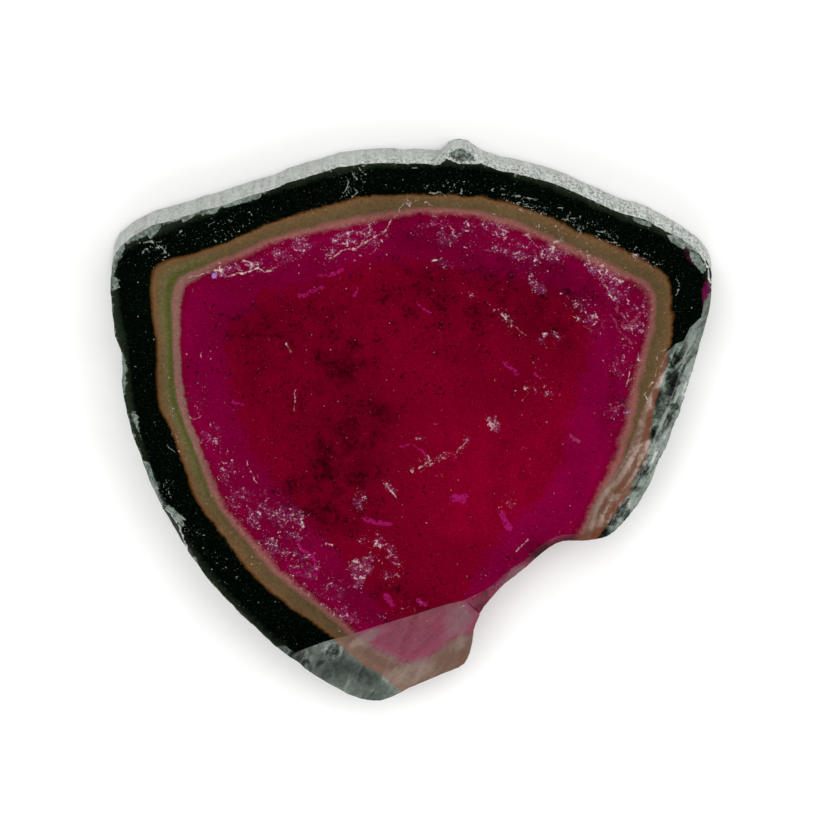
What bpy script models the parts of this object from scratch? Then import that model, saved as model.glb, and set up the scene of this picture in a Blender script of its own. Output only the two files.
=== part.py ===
"""Bicolor tourmaline slab: one slice sawn across a zoned tourmaline crystal, polished on both faces.

The slab lies on its back face at z = 0, with the polished front face up. Its long curved prism face is
the far side (+Y), and the corner opposite to that points to -Y. All lengths below are in millimetres,
and the finished mesh is scaled to metres.
"""

import math

import bmesh
import bpy
from mathutils import Matrix, Vector, kdtree, noise

MM = 0.001

# Driving dimensions of the slab.
THICKNESS = 3.5
OUTLINE_STEP = 0.42  # the distance along the outline between two corners of the mesh
WALL_LEVELS = (0.16, 1.3, 2.35)  # the heights of the edge loops round the side wall
BACK_CHAMFER = 0.1
GROWN_ROUGHNESS = 0.035  # how far the prism faces stray from their smooth form
BROKEN_ROUGHNESS = 0.16  # and the broken walls
ROUGHNESS_SCALE = 0.9  # of the noise that roughens them, per millimetre

# The outline runs clockwise from the left corner. Most of it is the crystal's own curved prism faces.
FAR_PRISM_FACE = (
    (-18.2, 11.6), (-17.0, 12.6), (-15.7, 13.15), (-13.2, 13.92), (-9.5, 15.12), (-7.0, 16.05),
    (-4.5, 16.8), (-2.6, 17.07), (0.0, 17.07), (1.75, 17.02),
)
# A small side crystal that grew on the far prism face.
NUB = ((2.15, 17.45), (2.5, 17.74), (3.25, 17.72), (3.8, 17.42), (4.4, 17.05))
FAR_PRISM_FACE_RIGHT = (
    (5.5, 16.6), (7.4, 16.2), (9.2, 15.6), (10.5, 15.05), (11.8, 14.4), (13.0, 13.88),
    (14.2, 13.52), (15.5, 12.88), (16.85, 12.05), (18.1, 11.05), (18.6, 10.0),
)
# The right side is broken, and so is the bay below it and the right half of the near corner.
RIGHT_BREAK = (
    (18.66, 8.8), (18.5, 7.4), (18.05, 5.45), (16.97, 1.3), (16.0, -1.3), (15.1, -3.6),
    (14.1, -5.5), (13.15, -6.7), (12.2, -7.3), (10.95, -7.5), (9.85, -7.5),
)
BAY_BREAK = (
    (9.1, -7.65), (8.1, -8.35), (6.85, -9.6), (5.5, -10.8), (4.7, -11.8), (4.15, -12.75),
    (3.87, -13.6), (3.82, -14.5), (3.65, -15.35), (3.0, -16.2), (1.35, -16.95), (-0.1, -17.55),
    (-1.2, -18.2),
)
NEAR_PRISM_FACE = (
    (-2.15, -18.5), (-3.35, -18.3), (-5.35, -17.15), (-7.15, -15.65), (-9.3, -13.75),
    (-12.1, -10.85), (-14.0, -8.3), (-14.8, -7.0), (-15.5, -5.7), (-16.0, -4.6), (-16.5, -3.35),
    (-16.85, -2.2), (-17.35, -0.9), (-17.75, 0.75), (-18.05, 2.2), (-18.1, 4.6), (-18.45, 5.8),
    (-18.67, 7.3), (-18.75, 9.2), (-18.65, 10.6),
)
OUTLINE = FAR_PRISM_FACE + NUB + FAR_PRISM_FACE_RIGHT + RIGHT_BREAK + BAY_BREAK + NEAR_PRISM_FACE

BOX_MIDDLE = (-0.04, -0.38)  # in the outline's coordinates: the finished slab has its origin there

# Growth striations cross the prism faces, parallel to the crystal's long axis: (pitch, depth).
STRIATIONS = ((2.9, 0.055), (1.7, 0.04), (1.13, 0.035))
CREST = 0.1  # how far the crests between the striations stand out from the outline

# Small chips along the front's sharp edge.
WEAR_WIDTH = 0.42
WEAR_DEPTH = (0.05, 0.32)
WEAR_PITCH = 1.3  # the usual distance between two chips

# Each break meets the front face along a border and falls away from it: name, the border's points,
# the heading in which it falls (degrees from +X), and the depth it reaches at some distances.
BREAKS = (
    ("tip_facet",
     ((6.2, -10.5), (4.3, -11.2), (2.7, -11.55), (1.75, -11.8), (-0.1, -12.45), (-2.0, -13.05),
      (-3.9, -13.7), (-5.7, -14.2), (-7.9, -15.1), (-9.5, -16.0)),
     -78, ((1.0, 0.3), (2.6, 0.78), (4.5, 1.25), (8.0, 1.85))),
    ("band_scar",
     ((18.9, 6.4), (16.0, 5.2), (15.7, 4.3), (15.2, 2.7), (14.5, 1.4), (14.0, -0.2), (13.3, -2.1),
      (12.5, -3.3), (11.8, -4.4), (11.1, -5.8), (10.7, -8.3)),
     -22, ((0.35, 0.13), (1.3, 0.22), (2.6, 0.45), (6.0, 1.6))),
    ("rim_scar",
     ((20.0, 8.8), (18.0, 7.1), (17.2, 6.3), (16.85, 5.3), (16.75, 4.3), (16.0, 2.0), (15.4, 0.4),
      (14.8, -0.9), (14.2, -2.5), (13.5, -4.1), (12.7, -5.4), (12.0, -6.7), (11.9, -8.6)),
     -22, ((0.4, 0.35), (1.1, 0.75), (2.2, 1.3), (5.0, 2.2))),
    ("bay_chip",
     ((9.6, -7.9), (7.5, -8.55), (6.5, -9.1), (5.8, -9.7), (5.2, -10.3), (4.6, -10.75), (3.3, -11.4)),
     -50, ((0.3, 0.16), (0.8, 0.36), (2.0, 1.0))),
    ("nub_chip",
     ((1.3, 17.6), (2.1, 17.05), (2.6, 16.8), (3.2, 16.65), (4.0, 16.7), (4.8, 16.85), (5.6, 17.3)),
     90, ((0.3, 0.35), (0.8, 0.85), (2.0, 2.2))),
    ("far_chip",
     ((13.4, 15.0), (14.5, 13.0), (15.5, 12.35), (16.5, 11.6), (17.4, 10.6), (18.0, 9.6), (18.1, 8.6),
      (19.6, 8.0)),
     50, ((0.3, 0.16), (0.8, 0.42), (2.0, 1.2))),
    ("near_chip",
     ((-17.6, -3.2), (-15.9, -4.1), (-15.1, -4.9), (-14.3, -5.6), (-13.9, -6.6), (-13.4, -7.6),
      (-13.6, -9.6)),
     205, ((0.3, 0.2), (0.9, 0.5), (2.5, 1.4))),
    ("corner_chip",
     ((-19.6, 9.6), (-18.35, 10.3), (-18.0, 11.0), (-17.4, 11.7), (-16.9, 12.1), (-15.9, 12.3),
      (-15.0, 14.2)),
     135, ((0.3, 0.15), (0.8, 0.35), (2.5, 1.3))),
)
BREAK_RIPPLE = 0.06  # how far the shell-like ripples of a break stand from its smooth form
BREAK_STEP = 0.9  # along a border, between two columns of the break's facets
ABOVE_FRONT = 2.0  # how far a cutter reaches over the front face
SHARP_ANGLE = math.radians(24)


def spline_point(a, b, c, d, t):
    """A point between b and c on the Catmull-Rom curve through a, b, c and d."""
    return 0.5 * (
        2 * b + (c - a) * t + (2 * a - 5 * b + 4 * c - d) * t * t + (3 * b - a - 3 * c + d) * t**3
    )


def smooth_outline():
    """The closed outline as a fine row of points, and the distance along it of each of them."""
    knots = [Vector(p) for p in OUTLINE]
    fine = []
    for i in range(len(knots)):
        a, b, c, d = (knots[(i + k) % len(knots)] for k in (-1, 0, 1, 2))
        steps = max(8, int((c - b).length * 30))
        fine += [spline_point(a, b, c, d, k / steps) for k in range(steps)]
    along = [0.0]
    for p, q in zip(fine, fine[1:] + fine[:1]):
        along.append(along[-1] + (q - p).length)
    return fine, along


def evenly_spaced(points, along, step):
    """Points at nearly equal steps along a row of points: (distance, point) pairs."""
    count = round(along[-1] / step)
    spaced, i = [], 0
    for wanted in (along[-1] * k / count for k in range(count)):
        while along[i + 1] < wanted:
            i += 1
        share = (wanted - along[i]) / (along[i + 1] - along[i])
        spaced.append((wanted, points[i].lerp(points[(i + 1) % len(points)], share)))
    return spaced


def striation(at, length):
    """How far a prism face stands back, at this distance along an outline of this length."""
    back = 0.0
    for i, (pitch, depth) in enumerate(STRIATIONS):
        waves = round(length / pitch)
        back += depth * abs(math.sin(math.pi * waves * at / length + 1.3 * i)) ** 0.7
    return back


def stone_outline():
    """The outline with its striations: the point, outward direction and roughness at each step."""
    fine, along = smooth_outline()

    def place_of(knot):
        return min(range(len(fine)), key=lambda i: (fine[i] - Vector(knot)).length)

    broken_from = along[place_of(RIGHT_BREAK[0])]
    broken_to = along[place_of(BAY_BREAK[-1])]
    spaced = evenly_spaced(fine, along, OUTLINE_STEP)
    stations = []
    for i, (at, point) in enumerate(spaced):
        tangent = (spaced[(i + 1) % len(spaced)][1] - spaced[i - 1][1]).normalized()
        outward = Vector((-tangent.y, tangent.x))
        if broken_from < at < broken_to:
            stations.append((point, outward, BROKEN_ROUGHNESS))
        else:
            grown = point + outward * (CREST - striation(at, along[-1]))
            stations.append((grown, outward, GROWN_ROUGHNESS))
    return stations


def blank(stations):
    """The slab with straight walls, an inset round the front face and edge loops round the wall."""
    bm = bmesh.new()
    back = bm.faces.new([bm.verts.new((p.x, p.y, 0)) for p, _, _ in stations])
    raised = bmesh.ops.extrude_face_region(bm, geom=[back], use_keep_orig=True)
    tops = [v for v in raised["geom"] if isinstance(v, bmesh.types.BMVert)]
    bmesh.ops.translate(bm, verts=tops, vec=(0, 0, THICKNESS))
    bmesh.ops.recalc_face_normals(bm, faces=bm.faces)
    for height in WALL_LEVELS:
        whole = list(bm.verts) + list(bm.edges) + list(bm.faces)
        bmesh.ops.bisect_plane(bm, geom=whole, plane_co=(0, 0, height), plane_no=(0, 0, 1))
    front = [f for f in bm.faces if f.normal.z > 0.5]
    bmesh.ops.inset_region(bm, faces=front, thickness=WEAR_WIDTH, use_even_offset=True)
    return bm


def wear(bm, stations):
    """Chips the front's edge, chamfers the back's, and roughens the wall between them."""
    tree = kdtree.KDTree(len(stations))
    for i, (point, _, _) in enumerate(stations):
        tree.insert((point.x, point.y, 0), i)
    tree.balance()
    least, most = WEAR_DEPTH
    for v in bm.verts:
        _, i, off_edge = tree.find((v.co.x, v.co.y, 0))
        _, outward, roughness = stations[i]
        if off_edge > 0.01:
            continue
        if v.co.z > THICKNESS - 0.01:
            chips = max(0.0, noise.noise(v.co / WEAR_PITCH))
            v.co.z -= least + (most - least) * chips
        elif v.co.z < 0.01:
            v.co.xy -= outward * BACK_CHAMFER
        else:
            v.co.xy += outward * roughness * noise.noise(v.co * ROUGHNESS_SCALE)


def spaced_border(border):
    """The border of a break as points at nearly equal steps."""
    points = [Vector(p) for p in border]
    along = [0.0]
    for p, q in zip(points, points[1:]):
        along.append(along[-1] + (q - p).length)
    return [p for _, p in evenly_spaced(points, along, BREAK_STEP)] + [points[-1]]


def break_cutter(name, border, heading, depths):
    """A closed block over the front face whose underside is the surface of one break."""
    fall = Vector((math.cos(math.radians(heading)), math.sin(math.radians(heading))))
    columns = spaced_border(border)
    first_slope = depths[0][1] / depths[0][0]
    profile = ((-0.6, -0.6 * first_slope), (0.0, 0.0)) + depths
    bm = bmesh.new()
    rows = []
    for distance, depth in profile:
        row = []
        for point in columns:
            x, y = point + fall * distance
            ripple = BREAK_RIPPLE * noise.noise(Vector((x, y, 3.0)) * 0.8) if distance > 0 else 0.0
            row.append(bm.verts.new((x, y, THICKNESS - depth + ripple)))
        rows.append(row)
    for lower, upper in zip(rows, rows[1:]):
        for i in range(len(columns) - 1):
            bm.faces.new((lower[i], lower[i + 1], upper[i + 1], upper[i]))
    raised = bmesh.ops.extrude_face_region(bm, geom=list(bm.faces), use_keep_orig=True)
    for v in raised["geom"]:
        if isinstance(v, bmesh.types.BMVert):
            v.co.z = THICKNESS + ABOVE_FRONT
    bmesh.ops.triangulate(bm, faces=bm.faces)
    bmesh.ops.recalc_face_normals(bm, faces=bm.faces)
    cutter = as_object(bm, name + "_cutter")
    cutter.hide_render = True
    cutter.display_type = "WIRE"
    return cutter


def as_object(bm, name):
    """The mesh in metres, with the middle of the slab's box at the origin, as an object of this name."""
    to_middle = Matrix.Translation((-BOX_MIDDLE[0], -BOX_MIDDLE[1], 0))
    bmesh.ops.transform(bm, matrix=Matrix.Scale(MM, 4) @ to_middle, verts=bm.verts)
    mesh = bpy.data.meshes.new(name)
    bm.to_mesh(mesh)
    bm.free()
    obj = bpy.data.objects.new(name, mesh)
    bpy.context.scene.collection.objects.link(obj)
    return obj


def polished_tourmaline():
    """The stone's material: deep crimson, with a glassy polish."""
    material = bpy.data.materials.new("polished_tourmaline")
    material.use_nodes = True
    shader = material.node_tree.nodes["Principled BSDF"]
    shader.inputs["Base Color"].default_value = (0.16, 0.002, 0.024, 1)
    shader.inputs["Roughness"].default_value = 0.12
    shader.inputs["Metallic"].default_value = 0.0
    shader.inputs["IOR"].default_value = 1.63
    return material


def build_slab():
    """The stone: the worn blank, less each of its breaks."""
    stations = stone_outline()
    bm = blank(stations)
    wear(bm, stations)
    bmesh.ops.triangulate(bm, faces=[f for f in bm.faces if len(f.verts) == 4])
    slab = as_object(bm, "tourmaline_slab")
    slab.data.shade_smooth()
    slab.data.set_sharp_from_angle(angle=SHARP_ANGLE)
    slab.data.materials.append(polished_tourmaline())
    for name, border, heading, depths in BREAKS:
        cut = slab.modifiers.new(name, "BOOLEAN")
        cut.operation = "DIFFERENCE"
        cut.object = break_cutter(name, border, heading, depths)


def main():
    for obj in list(bpy.data.objects):
        bpy.data.objects.remove(obj)
    build_slab()


main()
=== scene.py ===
"""The look of a polished slice of bicolor tourmaline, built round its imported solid.

The slice lies on its back face, with the polished front up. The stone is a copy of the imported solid, cut
into small cells: growth flutes and broken surfaces get their relief there, and each cell knows which growth
zone it lies in. Places are in millimetres, seen straight down on the front.
"""

import math
from functools import partial
from types import SimpleNamespace

import bmesh
import bpy
import numpy as np
from bpy.props import FloatProperty, FloatVectorProperty, PointerProperty
from mathutils import Matrix, Vector, noise
from mathutils.kdtree import KDTree


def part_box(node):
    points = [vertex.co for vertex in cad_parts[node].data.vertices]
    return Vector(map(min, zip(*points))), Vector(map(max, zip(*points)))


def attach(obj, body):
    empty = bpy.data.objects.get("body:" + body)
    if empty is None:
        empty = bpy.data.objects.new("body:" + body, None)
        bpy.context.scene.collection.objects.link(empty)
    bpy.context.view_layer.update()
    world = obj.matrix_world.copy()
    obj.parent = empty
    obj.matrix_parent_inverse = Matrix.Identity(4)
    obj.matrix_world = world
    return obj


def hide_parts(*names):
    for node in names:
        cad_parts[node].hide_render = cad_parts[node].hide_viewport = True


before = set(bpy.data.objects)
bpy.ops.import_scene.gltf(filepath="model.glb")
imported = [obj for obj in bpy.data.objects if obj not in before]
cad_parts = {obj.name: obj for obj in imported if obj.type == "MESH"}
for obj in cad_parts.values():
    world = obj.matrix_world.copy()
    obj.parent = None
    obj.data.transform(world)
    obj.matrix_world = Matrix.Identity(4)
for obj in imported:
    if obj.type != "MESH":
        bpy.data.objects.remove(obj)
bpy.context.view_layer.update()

bl_info = {
    "name": "Bicolor tourmaline slice",
    "version": (1, 0, 0),
    "blender": (4, 5, 0),
    "location": "3D View > Sidebar > Tourmaline",
    "description": "Finishes a packed slice of zoned tourmaline and lays it on a pale studio table",
    "category": "Add Mesh",
}

MM = 0.001
NODE = "tourmaline_slab"
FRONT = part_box(NODE)[1].z / MM
TO_FRAME = (0.04, 0.38)  # added to a place below, gives its place in the frame
SLACK = 0.01  # a point this far below the front still counts as on it

# How far up a surface's normal points: 1 on the polished front, 0 on an upright wall, -1 on the back.
TRULY_FLAT, POLISHED, NEARLY_FLAT, SLANTING = 0.9999, 0.999, 0.96, 0.3
STEEP, WALL, BACK = 0.7, 0.35, -0.5

# ---------------------------------------------------------------- growth zones, each as a loop of knots
ZONE_MIDDLE = (0.0, 0.5)
HEART = (
    (-10.3, 7.6), (-9.4, 8.8), (-7.0, 9.4), (-4.2, 10.5), (-1.4, 11.1), (1.8, 10.6), (4.2, 10.1),
    (6.8, 9.7), (9.2, 9.0), (10.5, 7.9), (11.3, 5.3), (10.5, 2.4), (9.9, 0.2), (9.5, -2.6), (8.1, -4.9),
    (6.4, -6.4), (4.9, -8.7), (3.3, -11.3), (1.1, -13.6), (-0.8, -13.2), (-2.6, -11.3), (-4.8, -8.7),
    (-7.0, -5.5), (-9.4, -2.9), (-10.8, -0.2), (-11.6, 2.4), (-11.9, 5.0), (-11.5, 6.6),
)
CORE = (
    (-14.4, 8.9), (-13.2, 9.9), (-10.8, 11.0), (-8.1, 12.1), (-5.6, 12.7), (-2.3, 13.4), (-0.8, 13.7),
    (1.2, 13.9), (4.3, 13.6), (7.1, 12.6), (10.5, 11.0), (13.1, 9.7), (14.3, 9.2), (14.8, 8.4),
    (14.8, 6.5), (13.9, 3.3), (13.2, -0.5), (11.6, -4.5), (10.3, -7.4), (8.8, -9.6), (7.0, -11.6),
    (5.2, -13.2), (3.8, -13.9), (2.8, -14.1), (2.1, -14.7), (1.2, -15.4), (0.0, -15.9), (-1.0, -15.7),
    (-2.2, -14.9), (-3.3, -13.9), (-4.4, -12.8), (-6.2, -11.3), (-8.3, -9.4),
    (-10.0, -7.4), (-11.8, -5.2), (-12.9, -2.6), (-14.0, 0.5), (-14.5, 3.1), (-14.6, 6.2),
)
BAND = (
    (-16.3, 9.9), (-15.5, 10.8), (-13.3, 11.4), (-10.7, 12.4), (-8.2, 13.5), (-5.7, 14.3),
    (-3.3, 14.95), (-0.8, 15.1), (3.0, 15.05), (5.5, 14.7), (8.0, 13.9), (10.4, 12.7), (13.0, 11.7),
    (15.4, 10.3), (16.0, 9.6), (16.2, 8.6), (16.2, 5.3), (15.5, 2.6), (15.0, 0.2), (14.8, -1.6),
    (14.1, -3.5), (13.3, -5.1), (12.35, -6.5), (9.6, -10.0), (6.6, -13.0), (3.6, -16.4), (1.1, -18.3),
    (-0.4, -18.2), (-1.1, -17.5), (-2.0, -16.7), (-3.1, -15.9), (-4.2, -14.9), (-5.4, -13.6),
    (-8.2, -11.5), (-10.4, -9.4), (-12.1, -6.9), (-13.6, -4.8), (-14.4, -2.3), (-15.2, -0.1),
    (-15.8, 1.1), (-16.0, 2.4), (-15.97, 5.3), (-16.3, 7.6),
)
# Where the crystal ended before it was broken.
SKIN = (
    (-18.2, 11.6), (-13.2, 13.9), (-7.0, 16.1), (-2.6, 17.1), (4.4, 17.1), (9.2, 15.6), (13.0, 13.9),
    (16.8, 12.1), (18.6, 10.0), (19.0, 7.5), (18.4, 3.0), (17.0, -2.0), (15.0, -6.5), (11.6, -11.0),
    (7.4, -15.0), (3.2, -18.4), (-0.6, -19.8), (-3.4, -18.3), (-7.2, -15.6), (-12.1, -10.8),
    (-15.5, -5.7), (-17.3, -0.9), (-18.1, 4.6), (-18.8, 9.2),
)
ZONES = (HEART, CORE, BAND, SKIN)
# The crystal is whole on the right of the line from the first place to the second, and broken on its left.
BREAK_LINE = ((18.7, 8.8), (-1.2, -18.3))
# The broken tip lies on the right of this line.
TIP_RIDGE = ((-7.4, -14.2), (3.3, -10.8))
# Edges are crests from the first of these angles, and white crests from the second.
CREST_FROM, CREST_FULL = math.radians(28), math.radians(60)
SHARP = math.radians(32)
# The rough parts of the broken surfaces: (x, y, radius).
HACKLES = (
    (-7.2, -15.4, 0.9), (-5.0, -14.8, 0.6), (16.4, 3.4, 1.8), (16.2, 1.2, 1.8), (14.8, -2.2, 1.7),
    (13.0, -5.6, 1.5), (3.3, 17.3, 1.5), (5.6, -9.6, 1.6),
)
# Where the edge of the front is worn deepest: (x, y, radius).
WORN_PLACES = (
    (-13.0, 14.4, 4.6), (-18.4, 10.0, 1.2), (-18.2, 3.4, 1.6), (-16.2, -4.2, 2.4), (17.2, 11.4, 1.6),
)

# ---------------------------------------------------------------- flaws
# Clouds of healed cracks and specks: (x, y, half length, half width, turn in degrees, strength).
FLECK_CLOUDS = (
    (-10.4, 10.2, 1.9, 0.5, 6, 1.0), (-7.6, 11.5, 2.4, 0.8, 25, 0.85), (-3.6, 12.0, 2.2, 1.1, 22, 0.9),
    (-0.1, 14.5, 0.6, 0.35, 0, 1.0), (2.6, 10.5, 1.2, 0.35, -8, 0.7), (2.4, 12.7, 2.2, 1.0, 0, 0.7),
    (7.2, 10.2, 0.7, 0.9, 60, 0.75), (7.8, 9.1, 0.7, 0.35, -30, 1.0), (5.9, 6.9, 1.5, 0.4, -42, 0.7),
    (3.6, 8.5, 0.6, 0.4, -30, 0.8), (8.6, 5.6, 0.8, 0.6, 0, 0.85), (8.1, 2.3, 0.9, 0.35, -15, 0.95),
    (7.6, 3.4, 0.6, 0.7, 0, 0.45), (11.0, 7.2, 1.0, 1.4, 60, 0.75), (12.2, 9.6, 2.2, 0.9, -52, 0.88),
    (14.0, 7.0, 0.8, 1.8, -10, 0.95), (13.4, 4.4, 1.2, 1.3, 0, 0.78), (12.4, 1.0, 0.8, 0.4, -30, 0.8),
    (6.0, 12.2, 4.6, 1.2, -14, 0.8), (5.1, 0.2, 0.35, 0.8, 20, 1.0), (3.1, -1.3, 0.8, 0.3, 50, 0.85),
    (1.0, -2.3, 1.6, 0.4, 25, 0.8), (-1.4, -3.9, 0.3, 0.7, 45, 0.95), (0.4, -0.9, 0.7, 0.4, 0, 0.6),
    (-1.8, -8.6, 0.9, 1.6, 20, 0.9), (-3.2, -9.4, 0.8, 1.3, -20, 0.9), (-2.6, -7.6, 0.7, 0.5, 0, 1.0),
    (-7.2, -6.0, 0.5, 0.9, 15, 0.85), (-3.3, -4.8, 0.5, 0.7, 0, 0.85), (-8.6, -6.8, 4.4, 1.7, -48, 0.72),
    (-6.2, -9.8, 2.6, 1.2, -40, 0.7), (-11.4, -3.0, 2.8, 0.9, -58, 0.62), (-12.6, -0.6, 0.7, 0.9, 0, 0.8),
    (-13.2, 1.6, 1.0, 1.3, 0, 0.5), (-4.8, -11.8, 1.9, 0.7, -35, 0.78), (6.0, -4.9, 0.6, 0.6, 0, 0.6),
    (-15.9, 11.2, 1.0, 0.9, 20, 0.62), (-11.8, 13.0, 2.8, 0.8, 20, 0.5), (-3.8, 15.6, 0.8, 1.0, 0, 0.66),
    (9.6, 13.4, 4.6, 0.55, -24, 0.74), (3.0, 15.5, 2.4, 0.5, -5, 0.58), (14.4, 11.0, 2.4, 0.5, -30, 0.66),
    (-15.0, 1.5, 0.3, 4.0, 6, 0.5), (-6.8, 13.9, 2.4, 0.3, 20, 0.4), (13.2, 1.8, 0.5, 3.2, -18, 0.5),
    (9.2, 12.4, 3.4, 0.5, -26, 0.5), (-15.4, -4.4, 1.0, 0.8, -60, 0.5), (-12.6, -8.2, 3.4, 0.5, -48, 0.45),
    (5.2, -9.4, 1.2, 0.5, 35, 0.5), (-0.9, -12.1, 2.6, 0.4, 18, 0.45), (10.5, -8.0, 1.0, 1.0, 0, 0.5),
)
# Where the red is lighter and darker than elsewhere, in the same way.
GLOWS = (
    (5.8, -3.0, 5.0, 3.6, -20, 0.20), (3.4, -5.8, 1.8, 1.4, 0, 0.25), (11.4, -2.8, 1.8, 4.2, 25, 0.16),
    (12.4, 5.6, 1.4, 3.0, 0, 0.10),
)
GLOOMS = (
    (4.6, 8.4, 7.2, 2.4, 0, 0.24), (-5.4, 3.0, 3.8, 5.0, 0, 0.13), (-4.6, 4.3, 1.6, 1.9, 20, 0.34),
    (-2.6, 0.2, 1.7, 1.2, 30, 0.36), (-4.6, -2.4, 2.2, 2.2, 0, 0.38), (-5.4, -5.0, 2.8, 1.8, -20, 0.36),
    (9.2, 6.8, 1.3, 2.2, 0, 0.22), (-7.4, 6.6, 4.2, 1.5, 8, 0.19), (-9.8, 4.4, 1.0, 2.4, 0, 0.18),
    (8.0, -8.2, 1.0, 0.8, 0, 0.25), (-0.6, -11.5, 3.0, 1.2, 0, 0.2), (2.0, 5.6, 2.6, 1.2, -20, 0.14),
    (-8.0, -7.6, 2.2, 1.2, -48, 0.20), (12.8, 1.7, 0.8, 2.4, -15, 0.16), (2.4, 12.2, 3.0, 0.8, 0, 0.12),
)
# Where the broken faces are paler and darker than elsewhere, in the same way. On the smooth facet at the tip
# the paler places are partly a painted reflection of the pale ground.
PALLORS = (
    (16.4, 0.2, 6.4, 1.3, 66, 0.35), (17.6, 5.0, 2.2, 0.6, 64, 0.5), (17.2, 2.8, 1.6, 0.5, 72, 2.0),
    (15.6, -1.1, 0.8, 0.16, 55, 1.8), (15.2, -2.2, 0.7, 0.12, 70, 1.8), (14.6, -3.6, 1.2, 0.13, 60, 1.4),
    (13.8, -5.2, 0.5, 0.22, 30, 1.2), (-2.8, -13.9, 1.2, 0.3, 27, 1.1), (2.9, -13.0, 1.1, 0.7, 60, 1.0),
    (0.0, -16.6, 1.5, 0.7, 20, 0.85), (-1.6, -15.2, 1.6, 0.35, -28, 0.5),
    (2.9, -14.6, 0.6, 0.4, 60, 0.5), (5.4, -10.8, 1.2, 0.4, 42, 0.5), (7.0, -9.4, 0.8, 0.3, 40, 1.5),
)
PITS = (
    (16.4, 4.3, 0.5, 0.2, 80, 1.0), (16.3, 2.9, 0.36, 0.26, 0, 1.0), (16.2, 2.1, 0.26, 0.2, 0, 1.0),
    (15.2, 2.1, 0.4, 0.12, 75, 1.0), (16.5, 1.1, 0.3, 0.2, -45, 0.9), (16.1, 0.4, 0.2, 0.13, 90, 1.0),
    (15.1, -0.5, 0.4, 0.12, 65, 1.0), (15.0, -1.2, 0.36, 0.12, 68, 0.9), (14.7, -2.1, 0.22, 0.13, 60, 0.9),
    (14.3, -3.0, 0.3, 0.1, 75, 1.0), (13.9, -4.1, 0.26, 0.1, 40, 0.9), (14.2, -4.2, 0.2, 0.14, 30, 1.0),
    (13.4, -5.1, 0.34, 0.13, 60, 1.0), (13.0, -5.6, 0.24, 0.12, 60, 0.9), (12.5, -6.4, 0.28, 0.12, 20, 1.0),
    (12.1, -7.0, 0.28, 0.16, -30, 1.0), (2.7, 17.0, 0.36, 0.28, 0, 1.0), (3.6, 17.3, 1.0, 0.6, -20, 0.15),
    (-4.8, -14.9, 0.14, 0.24, 0, 0.9), (-5.8, -15.7, 0.3, 0.14, 40, 0.8),
    (-7.2, -15.9, 0.5, 0.14, -35, 0.5), (-3.2, -16.6, 1.5, 0.5, -35, 0.3),
    (-6.0, -15.4, 2.2, 1.0, -25, 0.2),
    (0.3, -13.7, 1.4, 0.7, 10, 0.2), (3.1, -15.6, 0.8, 0.5, 30, 0.25), (4.4, -11.6, 0.6, 0.6, 60, 0.6),
)
# Where the break is dark only close to the front.
RIM_SHADES = ((9.6, -8.2, 2.4, 0.9, 18, 1.1),)
# Pale and dark streaks along the break in the band: half width, then the places that each passes.
PALE_LINES = (
    (0.10, (16.0, 4.9), (15.5, 4.3), (15.2, 3.5), (14.9, 2.8), (14.6, 2.2), (14.9, 1.5), (15.1, 0.9)),
    (0.10, (14.3, -1.3), (13.8, -2.1), (13.3, -2.9), (12.8, -3.7), (12.2, -4.2), (11.8, -5.0), (11.5, -5.8),
     (11.2, -6.8)),
    (0.06, (14.9, -1.1), (14.6, -1.9), (14.1, -2.6), (13.7, -3.5), (13.3, -4.1), (12.9, -4.5)),
    (0.06, (13.0, -4.7), (12.5, -5.2), (12.1, -5.8), (11.8, -6.6)),
    (0.05, (14.1, 0.3), (14.7, -0.2), (14.2, -0.5)),
)
DARK_LINES = (
    (0.12, (15.0, 1.0), (14.8, 0.2), (14.6, -0.5), (14.4, -1.2), (14.0, -2.0)),
    (0.12, (14.0, -2.4), (13.6, -3.2), (13.2, -3.9), (12.8, -4.4)),
    (0.04, (12.9, -4.9), (12.5, -5.5), (12.2, -6.0)),
    (0.10, (16.0, 4.2), (15.7, 3.4)),
    (0.12, (15.3, 2.2), (15.1, 1.3), (14.9, 0.6)),
)
# Smooth grey chips at the edge of the front, as corners that go anticlockwise. Their grey is partly a painted
# reflection, where a smooth facet on the dark rind catches the light.
CHIPS = (
    ((-16.5, 12.9), (-16.44, 12.38), (-16.25, 12.18), (-15.88, 12.57), (-15.5, 13.1), (-15.88, 13.2)),
    ((-18.5, 11.65), (-18.69, 11.07), (-18.69, 10.36), (-18.25, 10.88), (-17.87, 11.53), (-17.87, 12.0)),
    ((-17.9, 12.25), (-17.8, 11.9), (-17.1, 12.15), (-16.5, 12.4), (-16.5, 12.9), (-17.1, 12.7)),
    ((-18.6, 9.7), (-18.6, 8.85), (-18.31, 9.18), (-18.25, 9.5), (-18.44, 9.76)),
    ((-14.5, 13.75), (-14.2, 13.2), (-13.4, 13.75), (-13.5, 14.1)),
    ((-11.8, 14.6), (-11.7, 14.15), (-10.4, 14.55), (-9.4, 14.86), (-9.3, 15.1), (-10.6, 14.9)),
    ((-18.75, 6.6), (-18.6, 5.2), (-18.45, 6.3)), ((-18.3, 3.9), (-17.9, 2.3), (-18.0, 3.8)),
    ((-17.6, 0.9), (-16.9, -0.9), (-17.2, 0.8)), ((-16.9, -2.2), (-16.0, -3.9), (-16.4, -2.4)),
    ((-15.6, -5.6), (-14.2, -6.7), (-14.5, -5.8), (-15.3, -5.1)),
    ((15.8, 12.5), (16.1, 12.0), (16.9, 11.5), (17.1, 11.8), (16.4, 12.4)),
    ((17.2, 11.5), (17.4, 10.8), (18.1, 9.9), (18.35, 10.2), (17.9, 11.1)),
    ((13.6, 13.7), (13.9, 13.3), (14.9, 12.9), (14.9, 13.2)),
)
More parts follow.
